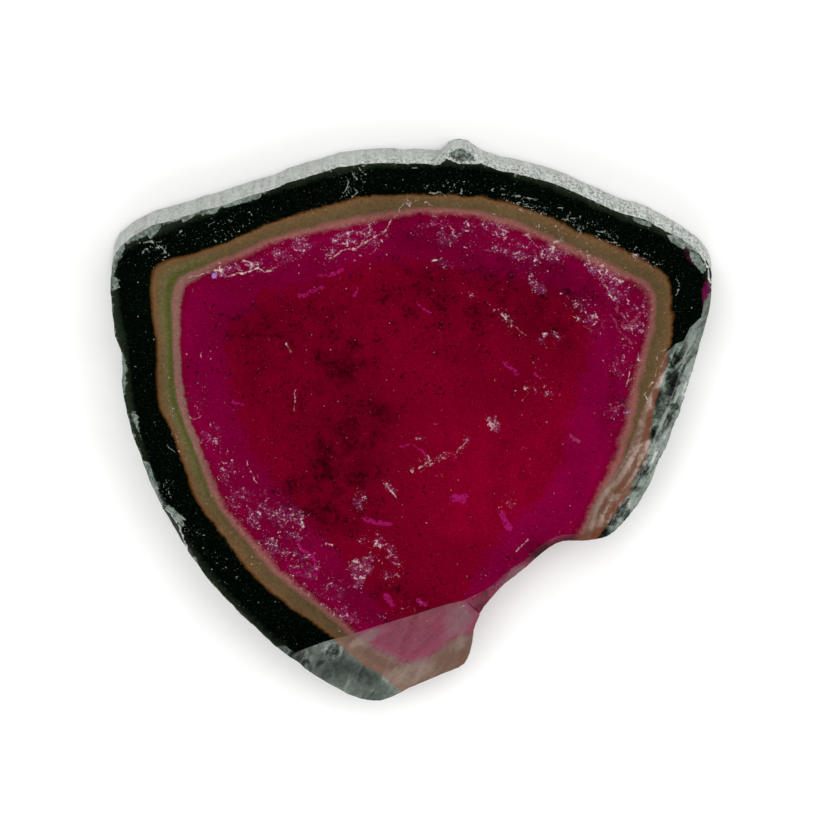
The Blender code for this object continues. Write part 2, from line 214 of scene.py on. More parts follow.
# Where magenta shines through the rind.
BLUSHES = (
    (18.35, 8.4, 0.32, 1.3, 0, 1.0), (17.4, 11.0, 1.1, 0.35, -48, 0.8), (-16.7, 12.6, 0.5, 0.25, 32, 0.7),
    (-18.55, 10.1, 0.15, 0.4, 0, 0.6), (16.2, 11.9, 1.2, 0.25, -38, 0.5), (14.2, 12.8, 1.4, 0.2, -30, 0.4),
)
GLINTS = ((-12.3, 9.8, 0.24, 0.16, 40, 1.0), (13.4, 1.0, 0.30, 0.12, -5, 1.0), (6.4, 11.0, 0.2, 0.2, 0, 0.7))
# White scratches and healed cracks: half width, then the places that each passes.
WHITE_LINES = (
    (0.025, (-14.4, 9.5), (-13.3, 9.8), (-12.4, 10.2), (-12.0, 10.2)),
    (0.05, (-12.4, 10.1), (-11.9, 10.1), (-11.5, 9.8), (-11.1, 9.9), (-10.9, 10.0), (-10.2, 10.0),
     (-9.6, 10.3)),
    (0.05, (-12.1, 10.6), (-11.9, 10.5), (-11.9, 10.1)),
    (0.04, (-11.0, 10.6), (-10.8, 10.2), (-10.5, 10.2)),
    (0.05, (-10.5, 10.8), (-10.0, 10.6), (-10.1, 10.2)),
    (0.04, (-9.6, 10.3), (-9.2, 10.0), (-8.7, 10.2)),
    (0.025, (-16.3, 12.1), (-15.8, 11.7), (-15.5, 11.5), (-15.1, 11.1)),
    (0.045, (-17.1, 12.2), (-16.9, 12.0), (-16.6, 12.0), (-16.2, 12.1)),
    (0.05, (-16.7, 11.3), (-16.6, 11.5), (-16.4, 11.5)),
    (0.03, (-16.4, 11.4), (-16.2, 11.2)),
    (0.025, (-18.4, 10.8), (-18.2, 10.9), (-18.0, 11.2)),
    (0.03, (-18.5, 9.8), (-18.3, 9.6), (-18.2, 9.4), (-18.3, 9.1), (-18.6, 8.9)),
    (0.02, (-12.6, 13.2), (-12.3, 13.3)),
    (0.015, (-11.4, 13.5), (-11.2, 13.2)),
    (0.02, (-14.4, 12.6), (-14.3, 12.8)),
    (0.043, (-5.2, 10.9), (-4.1, 11.5), (-3.5, 11.5), (-3.1, 11.9), (-2.6, 12.2), (-1.6, 12.7)),
    (0.018, (-1.8, 12.5), (-1.5, 13.0), (-0.9, 13.9), (-0.5, 14.6)),
    (0.036, (-4.4, 12.4), (-3.6, 12.7)),
    (0.025, (-4.1, 16.2), (-4.0, 15.7), (-4.2, 15.1), (-4.4, 14.8)),
    (0.022, (-3.8, 16.7), (-3.6, 16.3), (-3.3, 15.8)),
    (0.025, (-3.3, 16.8), (-2.9, 16.3)),
    (0.022, (-3.6, 15.5), (-3.4, 15.2), (-3.8, 14.9)),
    (0.036, (0.8, 14.6), (1.3, 14.3)),
    (0.022, (1.1, 15.1), (1.7, 15.2), (2.2, 14.9)),
    (0.02, (0.0, 16.8), (0.6, 16.7)),
    (0.032, (1.3, 10.7), (1.9, 10.9)),
    (0.018, (2.4, 13.1), (2.6, 12.4), (2.9, 12.2)),
    (0.012, (6.1, 15.1), (6.8, 14.9), (7.4, 14.8), (8.1, 14.6)),
    (0.01, (5.5, 14.9), (6.2, 14.5), (7.7, 14.2)),
    (0.012, (11.4, 12.8), (12.8, 12.3)),
    (0.012, (11.2, 12.6), (11.8, 12.1), (12.7, 11.9)),
    (0.01, (8.9, 13.7), (9.6, 13.4), (10.8, 12.8)),
    (0.012, (13.8, 11.3), (14.4, 10.9), (15.1, 10.7)),
    (0.01, (16.4, 9.8), (16.6, 9.0), (16.4, 8.5)),
    (0.022, (10.8, 11.4), (11.1, 10.6), (11.6, 9.6), (12.2, 8.9), (12.4, 8.3)),
    (0.022, (13.4, 8.3), (13.8, 7.5)),
    (0.025, (5.5, 7.4), (6.0, 6.8), (7.1, 6.0)),
    (0.022, (9.2, 8.7), (9.8, 8.3)),
    (0.018, (-14.0, 0.7), (-13.6, 0.4), (-13.1, 0.7)),
    (0.029, (-13.1, 4.5), (-13.1, 4.8)),
    (0.022, (-7.9, 5.5), (-7.6, 4.9)),
    (0.018, (-7.2, 2.4), (-7.4, 1.7), (-7.4, 1.0)),
    (0.022, (-10.3, -2.3), (-10.1, -3.0), (-9.7, -3.7)),
    (0.025, (-15.3, -1.2), (-14.8, -1.7)),
    (0.029, (13.6, 3.6), (13.4, 2.6)),
    (0.012, (16.0, 5.2), (15.5, 4.8), (15.3, 4.2), (15.2, 3.4), (14.9, 2.7), (14.6, 2.1), (14.9, 1.4)),
    (0.01, (15.8, 4.6), (15.5, 3.7), (15.3, 2.9), (14.9, 2.3)),
    (0.022, (6.9, 1.7), (7.3, 2.2)),
    (0.032, (7.3, -7.2), (6.6, -8.2)),
    (0.065, (-5.4, -7.8), (-5.0, -7.8)),
    (0.043, (-7.1, -5.8), (-6.8, -6.6), (-7.0, -6.8)),
    (0.043, (5.0, -0.2), (5.2, 0.2), (5.3, 0.7)),
    (0.043, (2.8, -1.7), (3.4, -1.0)),
    (0.029, (1.8, -1.9), (1.1, -2.3), (0.5, -2.7)),
    (0.036, (-1.7, -3.8), (-1.4, -4.1), (-1.0, -4.6)),
    (0.036, (-15.8, -5.1), (-15.2, -5.3), (-14.6, -5.7)),
    (0.043, (-15.0, -5.3), (-14.2, -6.1)),
    (0.058, (3.1, -11.9), (3.3, -11.8)),
)
# Pink and magenta veils, in the same way.
PINK_LINES = (
    (0.088, (-7.2, -7.5), (-6.9, -8.1), (-6.2, -8.5), (-6.1, -9.0), (-5.8, -9.4), (-6.1, -9.8)),
    (0.044, (-7.8, -9.3), (-7.4, -9.6), (-6.5, -9.6)),
    (0.077, (12.7, 8.1), (12.9, 7.5), (13.2, 7.2)),
    (0.055, (12.4, 7.3), (12.8, 6.5), (12.9, 6.2), (13.7, 5.4)),
    (0.077, (13.1, 6.5), (13.8, 6.8), (14.2, 7.4)),
    (0.066, (11.8, 9.8), (12.2, 8.9)),
    (0.05, (12.2, 10.1), (12.8, 9.4)),
    (0.055, (10.7, 6.6), (11.2, 6.2)),
    (0.077, (-5.8, 9.9), (-5.1, 9.8), (-4.4, 10.2)),
    (0.11, (-7.0, 8.5), (-6.2, 8.8), (-5.6, 9.1)),
    (0.077, (-3.6, 8.5), (-3.4, 9.0)),
    (0.044, (0.3, 8.1), (1.1, 7.4)),
    (0.077, (5.7, 4.2), (6.2, 3.8), (6.6, 3.4)),
    (0.077, (7.7, 3.4), (8.0, 3.1)),
    (0.11, (9.9, -0.6), (10.4, -1.0)),
    (0.055, (-0.8, -1.3), (0.0, -1.2)),
    (0.055, (0.2, -1.3), (1.0, -1.9)),
    (0.165, (-1.7, -11.1), (-1.2, -11.7)),
    (0.121, (0.4, -11.4), (0.8, -11.8)),
    (0.138, (-2.9, -6.0), (-2.3, -6.3), (-1.4, -6.4)),
    (0.22, (5.6, -5.7), (6.1, -6.6)),
    (0.275, (2.6, -4.7), (3.2, -4.7)),
    (0.121, (-12.4, 9.8), (-12.2, 9.7)),
    (0.088, (-11.2, 1.6), (-10.6, 1.4)),
    (0.088, (12.6, 1.2), (12.9, 1.1)),
)


# ---------------------------------------------------------------- small helpers
def linear(hex_colour):
    """The linear values of an sRGB colour such as "8a0030"."""
    parts = [int(hex_colour[i:i + 2], 16) / 255 for i in (0, 2, 4)]
    return tuple(c / 12.92 if c <= 0.04045 else ((c + 0.055) / 1.055) ** 2.4 for c in parts)


def per_mm(size):
    """The texture scale that makes a pattern this many millimetres coarse."""
    return 1 / (size * MM)


def add_node(tree, kind, *values, named=None, out=None, stops=(), **settings):
    """Adds a node, sets it up, fills or joins its open inputs in order and by name, and gives an output."""
    node = tree.nodes.new("ShaderNode" + kind)
    for name, value in settings.items():
        setattr(node, name, value)
    if stops:
        marks = node.color_ramp.elements
        marks.remove(marks[1])
        marks[0].position = stops[0][0]
        for place, _ in stops[1:]:
            marks.new(place)
        for mark, (_, colour) in zip(marks, stops):
            mark.color = (*colour, 1)
    sockets = [socket for socket in node.inputs if socket.enabled][:len(values)]
    sockets += [node.inputs[name] for name in named or {}]
    for socket, value in zip(sockets, (*values, *(named or {}).values())):
        if isinstance(value, bpy.types.NodeSocket):
            tree.links.new(value, socket)
        else:
            socket.default_value = (*value, 1) if socket.type == "RGBA" else value
    outputs = [socket for socket in node.outputs if socket.enabled]
    return node.outputs[out] if out else outputs[0] if outputs else None


def smooth_loop(knots, steps=8):
    """A closed Catmull-Rom curve through the knots, as rows of x and y."""
    here = np.array(knots)
    before, after, beyond = np.roll(here, 1, 0), np.roll(here, -1, 0), np.roll(here, -2, 0)
    t = np.arange(steps)[:, None, None] / steps
    curve = 0.5 * (
        2 * here
        + (after - before) * t
        + (2 * before - 5 * here + 4 * after - beyond) * t**2
        + (3 * here - before - 3 * after + beyond) * t**3
    )
    return curve.transpose(1, 0, 2).reshape(-1, 2)


def growth_at(x, y):
    """The growth zone of each point: 0 in the middle, then 1 to 4 at the outer edge of each of ZONES."""
    across, up = x - ZONE_MIDDLE[0], y - ZONE_MIDDLE[1]
    angle, reach = np.arctan2(up, across), np.hypot(across, up)
    growth, inner = np.zeros_like(x), np.zeros_like(x)
    for knots in ZONES:
        loop_across, loop_up = (smooth_loop(knots) - ZONE_MIDDLE).T
        loop_angle, loop_reach = np.arctan2(loop_up, loop_across), np.hypot(loop_across, loop_up)
        outer = np.interp(angle, *np.array(sorted(zip(loop_angle, loop_reach))).T, period=math.tau)
        growth += np.clip((reach - inner) / (outer - inner), 0, 1)
        inner = outer
    return growth


def smoothstep(value):
    """Eases 0 to 1 and holds it outside."""
    t = np.clip(value, 0, 1)
    return t * t * (3 - 2 * t)


def clouds_at(x, y, clouds):
    """How deep each point lies in the nearest cloud of flecks, times that cloud's strength."""
    gone = 1.6  # a cloud is gone at this many times its size
    depth = np.zeros_like(x)
    for middle_x, middle_y, length, width, turn, strength in clouds:
        cos, sin = math.cos(math.radians(turn)), math.sin(math.radians(turn))
        along = ((x - middle_x) * cos + (y - middle_y) * sin) / length
        aside = ((y - middle_y) * cos - (x - middle_x) * sin) / width
        depth = np.maximum(depth, strength * smoothstep(gone - np.hypot(along, aside)))
    return depth


def round_clouds(places, share):
    """Round clouds at the places, each given as x, y and radius, with this share of the radius."""
    return [(x, y, radius * share, radius * share, 0, 1) for x, y, radius in places]


def lines_at(x, y, lines, blur):
    """How well each point lies on one of the lines."""
    cover = np.zeros_like(x)
    for half_width, *places in lines:
        for (x0, y0), (x1, y1) in zip(places, places[1:]):
            run_x, run_y = x1 - x0, y1 - y0
            along = np.clip(((x - x0) * run_x + (y - y0) * run_y) / (run_x**2 + run_y**2), 0, 1)
            off = np.hypot(x - x0 - along * run_x, y - y0 - along * run_y)
            cover = np.maximum(cover, np.clip(1 - (off - half_width) / blur, 0, 1))
    return cover


def facets_at(x, y, facets, blur):
    """How far inside one of the facets each point lies."""
    cover = np.zeros_like(x)
    for corners in facets:
        inside = np.full_like(x, np.inf)
        for (x0, y0), (x1, y1) in zip(corners, corners[1:] + corners[:1]):
            run_x, run_y = x1 - x0, y1 - y0
            inside = np.minimum(inside, (run_x * (y - y0) - run_y * (x - x0)) / math.hypot(run_x, run_y))
        cover = np.maximum(cover, np.clip(inside / blur + 0.5, 0, 1))
    return cover


def right_of(line, x, y):
    """Whether each point lies on the right of the line, seen along it."""
    (x0, y0), (x1, y1) = line
    return (x1 - x0) * (y - y0) - (y1 - y0) * (x - x0) < 0


def on_grown_rim(x, y):
    """Whether each point lies where the crystal is whole to its skin."""
    return right_of(BREAK_LINE, x, y) & ~right_of(TIP_RIDGE, x, y)


def fade_down(z, full, gone):
    """1 for points down to one depth below the front, easing to 0 at another."""
    return smoothstep((z - FRONT + gone) / (gone - full))


def shaken(x, y, pitch, reach):
    """The places, moved by noise, so that what is drawn there has no straight edges."""
    moves = np.array([noise.noise_vector((across / pitch, up / pitch, 0)) for across, up in zip(x, y)])
    return x + moves[:, 0] * reach, y + moves[:, 1] * reach


# ---------------------------------------------------------------- the stone's shape
def cut_across(bm, faces, axis, step):
    """Cuts the faces by planes across one axis, a step apart, the middle plane of each pile first."""
    margin = 0.02  # of a step: no plane is this close to a pile's end
    normal = Vector((0, 0, 0))
    normal[axis] = 1
    piles = [faces]
    while piles:
        pile = piles.pop()
        reach = [vert.co[axis] / step for face in pile for vert in face.verts]
        first, last = math.floor(min(reach) + margin) + 1, math.ceil(max(reach) - margin) - 1
        if first > last:
            continue
        level = step * ((first + last) // 2)
        geom = {part for face in pile for part in (face, *face.edges, *face.verts)}
        cut = bmesh.ops.bisect_plane(
            bm, geom=list(geom), dist=step * margin / 2, plane_co=normal * level, plane_no=normal)
        ahead, behind = [], []
        for part in cut["geom"]:
            if isinstance(part, bmesh.types.BMFace):
                (ahead if part.calc_center_median()[axis] > level else behind).append(part)
        piles += [pile for pile in (ahead, behind) if pile]


def flat_places(verts):
    """The x and y of each vertex, as places on the front."""
    return (np.array([vert.co[:2] for vert in verts]) / MM - TO_FRAME).T


def halve_along(bm, lines):
    """Halves the front's cells where a line passes, because a line is finer than a cell."""
    beside = 0.2  # how far beside a line the cells are halved
    verts = [vert for vert in bm.verts if vert.co.z > (FRONT - SLACK) * MM]
    near = lines_at(*flat_places(verts), lines, beside) > 0
    touched = {vert for vert, hit in zip(verts, near) if hit}
    edges = [edge for edge in bm.edges if edge.verts[0] in touched and edge.verts[1] in touched]
    bmesh.ops.subdivide_edges(bm, edges=edges, cuts=1, use_grid_fill=True)


def stone_cells(sizes):
    """A copy of the solid in small cells, finest on the walls, the breaks and the scratches."""
    weld, bend = 0.001 * MM, math.radians(0.05)  # points this close are one, faces this flat are one
    bm = bmesh.new()
    bm.from_mesh(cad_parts[NODE].data)
    bmesh.ops.remove_doubles(bm, verts=bm.verts, dist=weld)
    bmesh.ops.dissolve_limit(bm, angle_limit=bend, verts=bm.verts, edges=bm.edges)
    for axis in (0, 1):
        cut_across(bm, [face for face in bm.faces if face.normal.z < BACK], axis, sizes.back_cell)
        cut_across(bm, [face for face in bm.faces if face.normal.z > POLISHED], axis, sizes.front_cell)
    for axis in (0, 1):
        cut_across(bm, [face for face in bm.faces if BACK <= face.normal.z <= POLISHED], axis, sizes.cell)
    cut_across(bm, [face for face in bm.faces if abs(face.normal.z) < STEEP], 2, sizes.wall_cell)
    chip_edges = [(0, *corners, corners[0]) for corners in CHIPS]
    for lines in (chip_edges, PINK_LINES, PINK_LINES, WHITE_LINES, WHITE_LINES, WHITE_LINES):
        halve_along(bm, lines)
    bmesh.ops.triangulate(bm, faces=bm.faces)
    for face in bm.faces:
        face.smooth = True
    bm.normal_update()
    return bm


def wear_edge(bm, sizes):
    """Draws the wear of the front's edge in to a narrower strip than the solid's, deep only in places, and
    notes how near that edge each point of the front is."""
    least_wear, least_scuff = 0.25, 0.72  # what is left of the wear and the scuffs off the worn places
    front = FRONT * MM
    nearness = bm.verts.layers.float.new("edge")
    top = [vert for vert in bm.verts if vert.co.z > front - sizes.wear_width and vert.normal.z > SLANTING]
    top = [vert for vert, grown in zip(top, on_grown_rim(*flat_places(top))) if grown]
    rim = [vert for vert in top if any(abs(face.normal.z) < WALL for face in vert.link_faces)]
    tree = KDTree(len(rim))
    for i, vert in enumerate(rim):
        tree.insert((vert.co.x, vert.co.y, 0), i)
    tree.balance()
    shares = clouds_at(*flat_places(top), round_clouds(WORN_PLACES, 0.7))
    for vert, share in zip(top, shares):
        off_edge = tree.find((vert.co.x, vert.co.y, 0))[2]
        slope = max(0, 1 - off_edge / sizes.wear_width) ** 2
        vert.co.z = front - (front - vert.co.z) * slope * (least_wear + (1 - least_wear) * share)
        scuff = max(0, 1 - off_edge / sizes.scuff_width)
        vert[nearness] = scuff * (least_scuff + (1 - least_scuff) * share)
    bm.normal_update()


def flute_at(place, pitch):
    """How deep a flute is at the place, from 0 to 1: coarse flutes with finer ones between, all upright."""
    coarse = noise.noise(Vector((place.x, place.y, 0)) / pitch)
    fine = noise.noise(Vector((place.x, place.y, 3)) / (0.4 * pitch))
    return 0.5 + 0.5 * max(-1, min(1, coarse + 0.5 * fine))


def dip_at(place):
    """How far a break dips at the place, from 0 to 1: soft ripples everywhere, crags where it is hackly."""
    ripple_width, crag_width, small_crag_width = 0.9, 0.7, 0.3
    smoothness, finer_by, octaves = 0.9, 2.1, 5
    x, y = place.x - TO_FRAME[0], place.y - TO_FRAME[1]
    hackly = max([0] + [min(1, 1.5 * (1 - math.hypot(x - hx, y - hy) / r)) for hx, hy, r in HACKLES])
    ripple = 0.5 + 0.5 * noise.fractal(place / ripple_width, smoothness, finer_by, octaves)
    crag = 1 - abs(noise.noise(place / crag_width)) - 0.5 * abs(noise.noise(place / small_crag_width))
    return 0.12 * ripple + hackly * max(0, crag)


def roughen(bm, sizes):
    """Gives the walls their growth flutes and the breaks their relief. The front and the foot stay flat."""
    foot, fade = 0.02 * MM, 0.4 * MM  # how high the foot reaches, and how far below the front relief is full
    front = FRONT * MM
    moves = []
    for vert in bm.verts:
        tilt = vert.normal.z
        if tilt > POLISHED or tilt < -STEEP or vert.co.z < foot:
            continue
        place = vert.co / MM
        side = Vector((vert.normal.x, vert.normal.y, 0))
        upright = max(0, 1 - abs(tilt) * 2)
        inward = sizes.flute_depth * flute_at(place, sizes.flute_pitch / MM) * upright
        relief = sizes.break_relief * dip_at(place) * min((front - vert.co.z) / fade, 1)
        moves.append((vert, -side * inward - vert.normal * relief * (1 - upright * 0.6)))
    for vert, move in moves:
        vert.co += move
        vert.co.z = min(max(vert.co.z, 0), front)
    bm.normal_update()


def mark_crests(bm):
    """Notes how sharp the sharpest edge at each point of the grown rim is, because a crest is bruised white.
    It also shades the polished face apart from what it meets."""
    lowest = 0.5 * MM  # crests lie above this
    crest = bm.verts.layers.float.new("crest")
    bm.verts.index_update()
    grown = on_grown_rim(*flat_places(bm.verts))
    for edge in bm.edges:
        angle = edge.calc_face_angle(0)
        polished = [face.normal.z > TRULY_FLAT for face in edge.link_faces]
        edge.smooth = angle < SHARP and all(polished) == any(polished)
        if min(vert.co.z for vert in edge.verts) > lowest:
            sharpness = (angle - CREST_FROM) / (CREST_FULL - CREST_FROM)
            for vert in edge.verts:
                vert[crest] = max(vert[crest], min(sharpness, 1) * grown[vert.index])


def rows_of(parts, name):
    """One of the three-number values of the mesh's points or faces, as rows."""
    values = np.empty(len(parts) * 3)
    parts.foreach_get(name, values)
    return values.reshape(-1, 3)


def point_marks(x, y, z):
    """What each point of the stone lies in: growth zone, flaws and the tones of the breaks."""
    # Cracks and pits dive into the stone, so a deeper cell shows them less.
    shallow, upper = fade_down(z, 0.2, 0.8), fade_down(z, 0.7, 2.2)
    at = shaken(*shaken(x, y, 0.5, 0.12), 0.16, 0.05)
    paler = clouds_at(x, y, PALLORS) + lines_at(*at, PALE_LINES, 0.12)
    pits = clouds_at(*at, PITS) * upper + clouds_at(*at, RIM_SHADES) * shallow
    return {
        "growth": growth_at(x, y),
        "flecks": clouds_at(x, y, FLECK_CLOUDS) * upper,
        "scratches": lines_at(*at, WHITE_LINES, 0.05) * shallow,
        "veils": lines_at(*at, PINK_LINES, 0.15) * shallow,
        "shine": clouds_at(x, y, GLOWS) - clouds_at(x, y, GLOOMS),
        "pallor": paler - 2 * pits - 1.2 * lines_at(*at, DARK_LINES, 0.15),
        "chips": facets_at(x, y, CHIPS, 0.12) * shallow,
        "blush": clouds_at(x, y, BLUSHES),
        "glints": clouds_at(x, y, GLINTS) * shallow,
        "hackle": clouds_at(x, y, round_clouds(HACKLES, 0.8)),
    }


def face_marks(x, y, z, tilt):
    """Whether each face is grown skin, and whether it is broken."""
    worn_flat, worn_slope = FRONT - 0.08, FRONT - 0.6  # the lowest that the worn edge reaches, by its tilt
    grown = on_grown_rim(x, y)
    wall = np.abs(tilt) < WALL
    flat = np.where(grown, (tilt > NEARLY_FLAT) & (z > worn_flat), (tilt > POLISHED) & (z > FRONT - SLACK))
    flat |= tilt < -WALL
    ragged_x, _ = shaken(x, z, 0.7, 0.7)
    skin = wall & right_of(BREAK_LINE, ragged_x, y)
    worn = ~flat & ~wall & grown & (z > worn_slope)
    return {"skin": skin, "broken": ~flat & ~worn & ~skin}


def mark_stone(mesh):
    """Writes what the material needs to know about the mesh's points and faces."""
    to_stone = (*TO_FRAME, 0)
    tilt = rows_of(mesh.polygons, "normal")[:, 2]
    by_point = point_marks(*(rows_of(mesh.vertices, "co") / MM - to_stone).T)
    by_face = face_marks(*(rows_of(mesh.polygons, "center") / MM - to_stone).T, tilt)
    for domain, marks in (("POINT", by_point), ("FACE", by_face)):
        for name, values in marks.items():
            layer = mesh.attributes.new(name, "FLOAT", domain)
            layer.data.foreach_set("value", np.asarray(values, dtype=np.float32))


# ---------------------------------------------------------------- the stone's material
MARKS = (
    "growth", "flecks", "scratches", "veils", "shine", "pallor", "chips", "blush", "glints", "hackle",
    "crest", "edge", "skin", "broken",
)
STREAK_TURN = math.radians(63)  # how the streaks on the breaks lie, from east
THREAD_TURN = -0.5 / (18 * MM)  # how the threads turn from the middle to the east


def stone_fields(node):
    """What the stone's patterns share: the mesh's marks, the place, and noises from coarse to fine."""
    stone = SimpleNamespace(**{name: node("Attribute", attribute_name=name, out="Fac") for name in MARKS})
    stone.place = node("TexCoord", out="Object")
    stone.east, stone.north, stone.high = (node("SeparateXYZ", stone.place, out=axis) for axis in "XYZ")
    stone.coarse = node("TexNoise", stone.place, per_mm(1.2), 3, 0.65)
    stone.fine = node("TexNoise", stone.place, per_mm(0.24), 2, 0.65, named={"Distortion": 0.5})
    stone.speck = node("TexNoise", stone.place, per_mm(0.11), 1)
    stone.crumbs = node("TexNoise", stone.place, per_mm(0.3), 2, 0.8, named={"Distortion": 0.6})
    stone.off_coarse, stone.off_fine, stone.off_speck = (
        node("Math", field, 0.5, operation="SUBTRACT") for field in (stone.coarse, stone.fine, stone.speck))
    return stone


def growth_zones(node, look, stone):
    """The colours of the growth zones, from the heart out. On the left the band has clear lines of pink and
    green. Elsewhere it is plain and wavers more."""
    off_left = node("MapRange", stone.east, -13.8 * MM, -11.4 * MM)
    low = node("MapRange", stone.north, -2 * MM, -7 * MM)
    plain = node("Math", off_left, low, operation="MAXIMUM")
    waver = node("Math", stone.off_coarse, node("MapRange", plain, 0, 1, 0.04, 0.08), operation="MULTIPLY")
    crumble = node("MapRange", plain, 0, 1, 0.02, 0.04)
    crumbly = node("Math", stone.off_fine, crumble, waver, operation="MULTIPLY_ADD")
    stone.zone = node("Math", stone.growth, 1 / len(ZONES), crumbly, operation="MULTIPLY_ADD")
    red = (
        (0.0, look.heart), (0.232, look.heart), (0.262, look.core), (0.44, look.core), (0.48, look.core_edge),
    )
    dark = ((0.736, look.rust), (0.750, look.rind), (0.94, look.rind), (1.0, look.rind_edge))
    left_zones = node("ValToRGB", stone.zone, stops=(
        *red, (0.495, look.pink_line), (0.540, look.pink_line), (0.560, look.olive), (0.574, look.green_line),
        (0.592, look.green_line), (0.62, look.olive), (0.65, look.olive), (0.69, look.tan), (0.71, look.tan),
        *dark))
    right_zones = node("ValToRGB", stone.zone, stops=(
        *red, (0.520, look.pink_brown), (0.535, look.pink_brown), (0.585, look.umber), (0.65, look.umber),
        (0.69, look.tan), (0.715, look.tan), *dark))
    return node("Mix", plain, left_zones, right_zones, data_type="RGBA")


def cloudy_red(node, look, stone, colour):
    """Cloudy growth makes the red deeper and paler by turns, and soot lies in its dark parts."""
    stone.in_core = node("MapRange", stone.growth, 1.9, 2.05, 1.0, 0.0)
    cloudy = node("TexNoise", stone.place, per_mm(5), 2, 0.6)
    unevenness = node("MapRange", stone.coarse, 0.38, 0.62, 0.4, 1.5)
    uneven_shine = node("Math", stone.shine, unevenness, operation="MULTIPLY")
    depth = node("Math", uneven_shine, stone.in_core, node("MapRange", cloudy, 0.35, 0.65, 0.9, 1.1),
                 operation="MULTIPLY_ADD")
    fine_grain = node("MapRange", stone.fine, 0.3, 0.7, 0.84, 1.16)
    finest_grain = node("MapRange", stone.speck, 0.25, 0.75, 0.82, 1.18)
    grain = node("Math", fine_grain, finest_grain, operation="MULTIPLY")
    grained_depth = node("Math", depth, grain, operation="MULTIPLY")
    # The band is darker toward the tip.
    toward_tip = node("MapRange", stone.north, -15 * MM, -9 * MM, 0.65, 1.0)
    near_tip = node("Math", stone.in_core, toward_tip, operation="MAXIMUM")
    shade = node("Math", grained_depth, near_tip, operation="MULTIPLY")
    shaded = node("Mix", 1.0, colour, shade, data_type="RGBA", blend_type="MULTIPLY")
    coarse_and_fine = node("Math", stone.coarse, 0.5, stone.fine, operation="MULTIPLY_ADD")
    soot_noise = node("Math", stone.shine, -0.22, coarse_and_fine, operation="MULTIPLY_ADD")
    sooty = node("MapRange", soot_noise, 0.86, 0.96, 0.0, 0.8)
    soot = node("Math", sooty, stone.in_core, operation="MULTIPLY")
    return node("Mix", soot, shaded, look.soot, data_type="RGBA")


def peppered_rind(node, look, stone, colour):
    """Green-grey grains pepper the rind."""
    stone.in_rind = node("MapRange", stone.zone, 0.745, 0.76)
    grains = node("MapRange", stone.speck, 0.60, 0.80, 0.0, 0.5)
    pepper = node("Math", grains, stone.in_rind, operation="MULTIPLY")
    return node("Mix", pepper, colour, look.pepper, data_type="RGBA")


def shining_cracks(node, look, stone, colour):
    """Veils, glints and blushes: pink and violet light from cracks inside."""
    stone.blush_cover = node("MapRange", node("Math", stone.blush, stone.coarse, operation="MULTIPLY"),
                             0.32, 0.6, 0.0, 0.8)
    blushing = node("Mix", stone.blush_cover, colour, look.blush, data_type="RGBA")
    fine_and_speck = node("Math", stone.fine, stone.speck, operation="ADD")
    veil_cover = node("MapRange", node("Math", stone.veils, fine_and_speck, operation="MULTIPLY"),
                      0.80, 1.1, 0.0, 0.9)
    on_right = node("MapRange", stone.east, 8 * MM, 11 * MM)
    veil_colour = node("Mix", on_right, look.veil, look.vein, data_type="RGBA")
    veiled = node("Mix", veil_cover, blushing, veil_colour, data_type="RGBA")
    glint_cover = node("MapRange", node("Math", stone.glints, stone.fine, operation="MULTIPLY"), 0.25, 0.4)
    return node("Mix", glint_cover, veiled, look.glint, data_type="RGBA")


